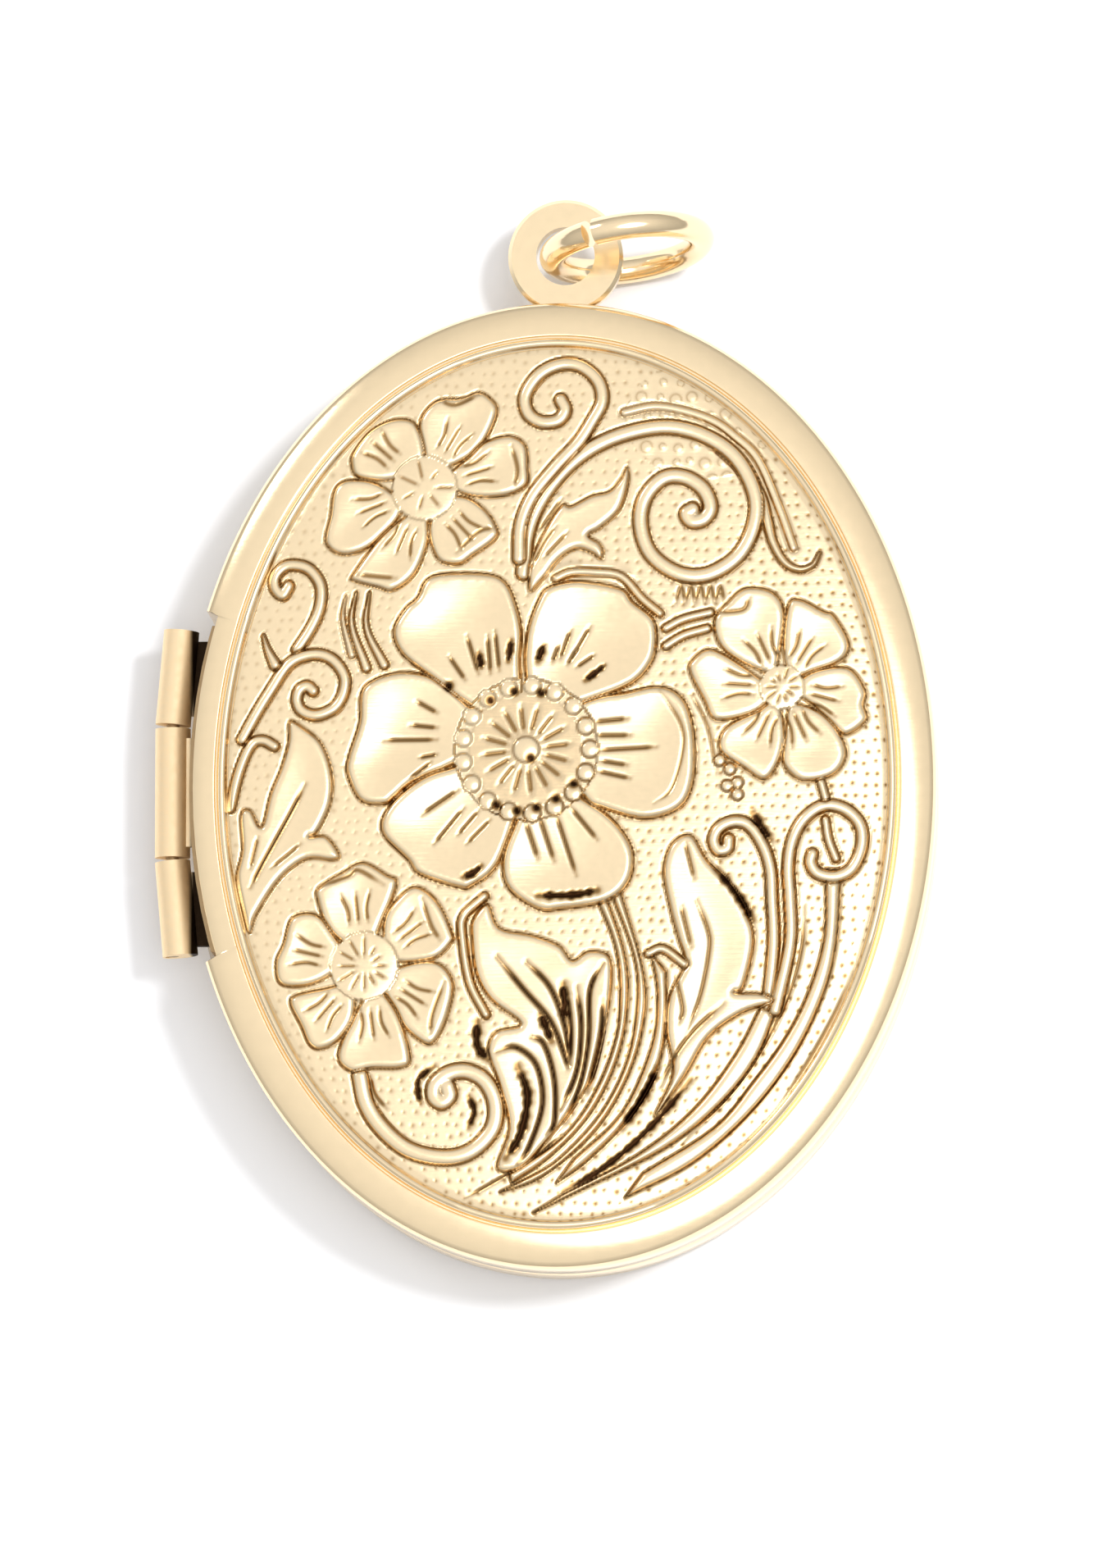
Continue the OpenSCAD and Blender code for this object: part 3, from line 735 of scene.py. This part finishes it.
# %% The band and wall of the front cover
DOME_RISE = 0.62  # from the band up to the highest metal
front_top = top_z - DOME_RISE
FRONT_PROFILE = [
    (1.72, front_top - 0.5), (1.64, front_top - 0.02), (1.6, front_top),
    (1.56, front_top + 0.08), (1.5, front_top + 0.13), (1.43, front_top + 0.14),
    (1.36, front_top + 0.1), (1.31, front_top + 0.02), (1.27, front_top - 0.07),
    (1.22, front_top - 0.07), (1.18, front_top - 0.01), (1.13, front_top),
    (0.24, front_top - 0.28), (0.12, front_top - 0.34), (0.04, front_top - 0.44),
    (0.0, front_top - 0.56), (0.0, part_z + 0.16), (0.03, part_z + 0.07), (0.1, part_z + 0.02),
    (0.3, part_z + 0.02), (0.4, part_z + 0.06), (0.4, part_z + 1.6),
]
points, faces = carry_round(FRONT_PROFILE, part_z - 1, top_z)
edge = make_mesh("cover_edge", points, faces)
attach(edge, "front_half")
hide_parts("front_cover")
print("front profile points", len(FRONT_PROFILE))

# %% The back cover
BACK_PROFILE = [
    (0.4, part_z - 0.04), (0.32, part_z), (0.1, part_z), (0.03, part_z - 0.05),
    (0.0, part_z - 0.14), (0.0, 0.62), (0.03, 0.5), (0.11, 0.38), (0.24, 0.3), (1.0, 0.07),
    (1.12, 0.03), (1.24, 0.0), (6.0, 0.0),
]
points, faces = carry_round(BACK_PROFILE, 0.8, part_z + 1, False)
n = len(TURNS)
last = (len(BACK_PROFILE) - 1) * n
points.append((0, 0, 0))
for i in range(n):
    faces.append((last + i, len(points) - 1, last + (i + 1) % n))
INNER = [(0.41, part_z - 0.04), (0.41, 0.8), (6.0, 0.78)]
inner_points, inner_faces = carry_round(INNER, 0.9, part_z + 1, False)
start = len(points)
points += inner_points
for a, b, c, d in inner_faces:
    faces.append((start + d, start + c, start + b, start + a))
points.append((0, 0, 0.78))
for i in range(n):
    faces.append((start + 2 * n + (i + 1) % n, len(points) - 1, start + 2 * n + i))
    faces.append((i, (i + 1) % n, start + (i + 1) % n, start + i))
back = make_mesh("back_shell", points, faces)
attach(back, "back_half")
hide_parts("back_cover")
for thing in (edge, back):
    thing.data.set_sharp_from_angle(angle=math.radians(38))
print("back shell points", len(points))

# %% [markdown]
# ## Finishes
# Gold is a metal, so its colour is in its reflection. What tells one finish from another is how
# rough it is and what has happened to it: the polished edge has hair-fine scratches from wear,
# the embossed face has the shade of its lines painted brown and black into its colour, the hinge
# and its bearers are painted dark for the shade in the gap, and the inside is satin from the press.


# %% A gold
def new_material(name):
    """An empty material and its main shader."""
    material = bpy.data.materials.new(name)
    material.use_nodes = True
    return material, material.node_tree, material.node_tree.nodes["Principled BSDF"]


def gold(name, colour, rough, bump, grain, scratch, with_painted_shade=False, gap_shade_from=None):
    """Gold with worn roughness and a fine bumped grain; sizes are in repeats per metre."""
    material, tree, shader = new_material(name)
    place = tree.nodes.new("ShaderNodeTexCoord")
    shader.inputs["Metallic"].default_value = 1
    fine = tree.nodes.new("ShaderNodeTexNoise")
    fine.inputs["Scale"].default_value = grain
    fine.inputs["Detail"].default_value = 6
    tree.links.new(place.outputs["Object"], fine.inputs["Vector"])
    wear = tree.nodes.new("ShaderNodeMapRange")
    wear.inputs["From Min"].default_value = 0.35
    wear.inputs["From Max"].default_value = 0.7
    wear.inputs["To Min"].default_value = rough * 0.92
    wear.inputs["To Max"].default_value = rough * 1.1
    tree.links.new(fine.outputs["Fac"], wear.inputs["Value"])
    tree.links.new(wear.outputs["Result"], shader.inputs["Roughness"])
    lines = tree.nodes.new("ShaderNodeTexNoise")
    lines.inputs["Scale"].default_value = scratch
    lines.inputs["Detail"].default_value = 3
    stretch = tree.nodes.new("ShaderNodeMapping")
    stretch.inputs["Rotation"].default_value = (0, 0, 0.5)
    stretch.inputs["Scale"].default_value = (1, 14, 1)
    tree.links.new(place.outputs["Object"], stretch.inputs["Vector"])
    tree.links.new(stretch.outputs["Vector"], lines.inputs["Vector"])
    relief = tree.nodes.new("ShaderNodeBump")
    relief.inputs["Strength"].default_value = bump
    relief.inputs["Distance"].default_value = 0.00002
    tree.links.new(lines.outputs["Fac"], relief.inputs["Height"])
    tree.links.new(relief.outputs["Normal"], shader.inputs["Normal"])
    tint = tree.nodes.new("ShaderNodeValToRGB")
    tint.color_ramp.elements[0].position = 0.3
    tint.color_ramp.elements[0].color = (*[0.97 * c for c in colour], 1)
    tint.color_ramp.elements[1].position = 0.75
    tint.color_ramp.elements[1].color = (*colour, 1)
    tree.links.new(fine.outputs["Fac"], tint.inputs["Fac"])
    # painted shade: beyond a given x the colour turns almost black, for the shade in the gap between
    # the knuckles and the cover
    if gap_shade_from:
        along_x = tree.nodes.new("ShaderNodeSeparateXYZ")
        amount = tree.nodes.new("ShaderNodeMapRange")
        amount.inputs["From Min"].default_value = gap_shade_from
        amount.inputs["From Max"].default_value = gap_shade_from + 0.12 * MM
        gap_shade_mix = tree.nodes.new("ShaderNodeMix")
        gap_shade_mix.data_type = "RGBA"
        gap_shade_mix.inputs["B"].default_value = (0.03, 0.018, 0.01, 1)
        tree.links.new(place.outputs["Object"], along_x.inputs["Vector"])
        tree.links.new(along_x.outputs["X"], amount.inputs["Value"])
        tree.links.new(amount.outputs["Result"], gap_shade_mix.inputs["Factor"])
        tree.links.new(tint.outputs["Color"], gap_shade_mix.inputs["A"])
        tree.links.new(gap_shade_mix.outputs["Result"], shader.inputs["Base Color"])
        return material
    if not with_painted_shade:
        tree.links.new(tint.outputs["Color"], shader.inputs["Base Color"])
        return material
    # painted shade: the attribute darkens the colour to brown and near black in grooves, pits and
    # corners
    kept = tree.nodes.new("ShaderNodeAttribute")
    kept.attribute_name = "painted_shade"
    shade = tree.nodes.new("ShaderNodeValToRGB")
    shade.color_ramp.elements[0].color = (1, 1, 1, 1)
    shade.color_ramp.elements[1].color = (0.03, 0.015, 0.008, 1)
    light_brown = shade.color_ramp.elements.new(0.5)
    light_brown.color = (0.44, 0.33, 0.2, 1)
    brown = tree.nodes.new("ShaderNodeMix")
    brown.data_type = "RGBA"
    brown.blend_type = "MULTIPLY"
    brown.inputs["Factor"].default_value = 1
    tree.links.new(kept.outputs["Fac"], shade.inputs["Fac"])
    tree.links.new(tint.outputs["Color"], brown.inputs["A"])
    tree.links.new(shade.outputs["Color"], brown.inputs["B"])
    tree.links.new(brown.outputs["Result"], shader.inputs["Base Color"])
    return material


GOLD = (1.0, 0.80, 0.52)
embossed = gold("embossed gold", GOLD, 0.2, 0.12, 5000, 900, with_painted_shade=True)
polished = gold("polished gold", GOLD, 0.16, 0.06, 2500, 700)
satin = gold("satin gold", (0.9, 0.70, 0.42), 0.3, 0.4, 7000, 1500)
# painted shade: a dark brown gold for the bearers and pin, which sit in the shade of the gap by the
# hinge
shade_painted = gold("grimy gold", (0.42, 0.30, 0.17), 0.5, 0.4, 7000, 1500)
drawn = gold("drawn gold wire", GOLD, 0.14, 0.1, 4000, 1200)
knuckle_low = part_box("hinge_knuckle_middle")[0]
pin_low, pin_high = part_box("hinge_pin")
knuckle_radius = (pin_low[0] + pin_high[0]) / 2 - knuckle_low[0]
knuckle_right = knuckle_low[0] + 2 * knuckle_radius
# the hinge gold is painted almost black past the right side of the knuckles, for the shade in the gap
turned = gold("hinge gold", GOLD, 0.58, 0.08, 6000, 1000,
              gap_shade_from=knuckle_right - 0.02 * MM)
print("golds", len((embossed, polished, satin, shade_painted, drawn, turned)))


# %% Clear window and picture card
def window_sheet():
    """Clear acetate with a faint dusty haze."""
    material, tree, shader = new_material("clear acetate")
    shader.inputs["Base Color"].default_value = (0.96, 0.98, 0.98, 1)
    shader.inputs["Transmission Weight"].default_value = 1
    shader.inputs["IOR"].default_value = 1.48
    haze = tree.nodes.new("ShaderNodeTexNoise")
    haze.inputs["Scale"].default_value = 900
    haze.inputs["Detail"].default_value = 8
    spread = tree.nodes.new("ShaderNodeMapRange")
    spread.inputs["To Min"].default_value = 0.02
    spread.inputs["To Max"].default_value = 0.12
    place = tree.nodes.new("ShaderNodeTexCoord")
    tree.links.new(place.outputs["Object"], haze.inputs["Vector"])
    tree.links.new(haze.outputs["Fac"], spread.inputs["Value"])
    tree.links.new(spread.outputs["Result"], shader.inputs["Roughness"])
    return material


def card():
    """Cream card with short paper fibres."""
    material, tree, shader = new_material("picture card")
    place = tree.nodes.new("ShaderNodeTexCoord")
    fibre = tree.nodes.new("ShaderNodeTexNoise")
    fibre.inputs["Scale"].default_value = 2600
    fibre.inputs["Detail"].default_value = 10
    tint = tree.nodes.new("ShaderNodeValToRGB")
    tint.color_ramp.elements[0].color = (0.74, 0.68, 0.56, 1)
    tint.color_ramp.elements[1].color = (0.9, 0.86, 0.77, 1)
    relief = tree.nodes.new("ShaderNodeBump")
    relief.inputs["Strength"].default_value = 0.4
    relief.inputs["Distance"].default_value = 0.00002
    tree.links.new(place.outputs["Object"], fibre.inputs["Vector"])
    tree.links.new(fibre.outputs["Fac"], tint.inputs["Fac"])
    tree.links.new(tint.outputs["Color"], shader.inputs["Base Color"])
    tree.links.new(fibre.outputs["Fac"], relief.inputs["Height"])
    tree.links.new(relief.outputs["Normal"], shader.inputs["Normal"])
    shader.inputs["Roughness"].default_value = 0.85
    return material


clear = window_sheet()
paper = card()
print("clear sheet and card", clear.name, "and", paper.name)

# %% Give every part its finish
FINISH = {
    "embossed_gold": embossed,
    "polished_gold": polished,
    "inner_gold": satin,
    "hinge_gold": turned,
    "ring_gold": drawn,
    "window_sheet": clear,
    "picture_card": paper,
}


def finish_with(thing, material):
    """Puts the material on the object's slots."""
    if not thing.data.materials:
        thing.data.materials.append(material)
    for slot in thing.material_slots:
        slot.link = "OBJECT"
        slot.material = material


for subpart in record["subparts"]:
    finish_with(frame["nodes"][subpart["node"]], FINISH[subpart["material_slot"]])
# painted shade: the bearers and the pin are given the dark gold because they lie in shade
for node in ("back_hinge_bearer", "front_hinge_bearer", "hinge_pin"):
    finish_with(frame["nodes"][node], shade_painted)
for half in face_halves:
    finish_with(half, embossed)
finish_with(edge, polished)
finish_with(back, polished)
print("finishes given to", len(record["subparts"]) + 4, "pieces")

# %% [markdown]
# ## Table, light and camera
# Polished metal shows what surrounds it, so the light matters more than the gold does. A broad
# softbox overhead makes everything flat bright, a small lamp at the upper left draws the edges, a
# lamp at the upper right that the metal doesn't mirror throws the shadow to the lower left, and
# the rest of the room stays dimmer, so that slopes turn darker than flats.

# %% The table
TABLE_SIZE = 3
TABLE_Z = -0.00001
bpy.ops.mesh.primitive_plane_add(size=TABLE_SIZE, location=(0, 0, TABLE_Z))
table = bpy.context.object
table.name = "table"
white, _, white_shader = new_material("white table")
white_shader.inputs["Base Color"].default_value = (0.86, 0.87, 0.9, 1)
white_shader.inputs["Roughness"].default_value = 0.6
table.data.materials.append(white)
print("table, m", TABLE_SIZE)


# %% The lamps
def softbox(name, place, size, power, mirrored=True):
    """A round lamp facing the locket; a lamp that isn't mirrored only lights the table."""
    lamp = bpy.data.lights.new(name, "AREA")
    lamp.shape = "DISK"
    lamp.size = size
    lamp.energy = power
    thing = bpy.data.objects.new(name, lamp)
    thing.location = place
    thing.rotation_euler = (Vector((0, 0, 0)) - Vector(place)).to_track_quat("-Z", "Y").to_euler()
    thing.visible_glossy = mirrored
    bpy.context.scene.collection.objects.link(thing)


softbox("overhead", (0.14, -0.08, 0.6), 0.4, 0.75)
softbox("rim", (-0.35, 0.3, 0.35), 0.12, 0.25)
softbox("key", (0.25, 0.1, 0.5), 0.11, 2.1, mirrored=False)
world = bpy.data.worlds.new("room")
world.use_nodes = True
nodes = world.node_tree.nodes
links = world.node_tree.links
where = nodes.new("ShaderNodeTexCoord")
height = nodes.new("ShaderNodeSeparateXYZ")
room = nodes.new("ShaderNodeValToRGB")
room.color_ramp.elements[0].position = 0.0
room.color_ramp.elements[0].color = (0.45, 0.45, 0.45, 1)
room.color_ramp.elements[1].position = 1.0
room.color_ramp.elements[1].color = (0.98, 0.98, 0.98, 1)
for share, strength in ((0.55, 0.7), (0.85, 0.92)):
    step = room.color_ramp.elements.new(share)
    step.color = (strength, strength, strength, 1)
links.new(where.outputs["Generated"], height.inputs["Vector"])
links.new(height.outputs["Z"], room.inputs["Fac"])
links.new(room.outputs["Color"], nodes["Background"].inputs["Color"])
nodes["Background"].inputs["Strength"].default_value = 1
bpy.context.scene.view_settings.view_transform = "Standard"
bpy.context.scene.world = world
print("lamps", len(bpy.data.lights))

# %% [markdown]
# ## The camera
# A long lens from almost straight above keeps the oval true. It leans a few degrees towards the
# foot of the locket and to the right.

# %% Place the camera
LENS = 270
SENSOR = 36
FRAME_HEIGHT = 52.7
AIM_HEIGHT = 5
AIM_RIGHT = 0.124
AIM_DOWN = 0.083
away = Vector((0.0588, -0.126, 0.990)).normalized()
right = Vector((0, 1, 0)).cross(away).normalized()
up = away.cross(right)
aim = Vector((0, 0, AIM_HEIGHT)) + right * AIM_RIGHT - up * AIM_DOWN
eye = (aim + away * FRAME_HEIGHT * LENS / SENSOR) * MM
camera_data = bpy.data.cameras.new("camera")
camera_data.lens = LENS
camera_data.sensor_fit = "VERTICAL"
camera_data.sensor_height = SENSOR
camera_data.clip_start = 0.01
camera_data.dof.use_dof = False
camera = bpy.data.objects.new("camera", camera_data)
camera.matrix_world = Matrix.Translation(eye) @ Matrix((right, up, away)).transposed().to_4x4()
bpy.context.scene.collection.objects.link(camera)
bpy.context.scene.camera = camera
print("camera stands", round(eye.length, 3), "m away")
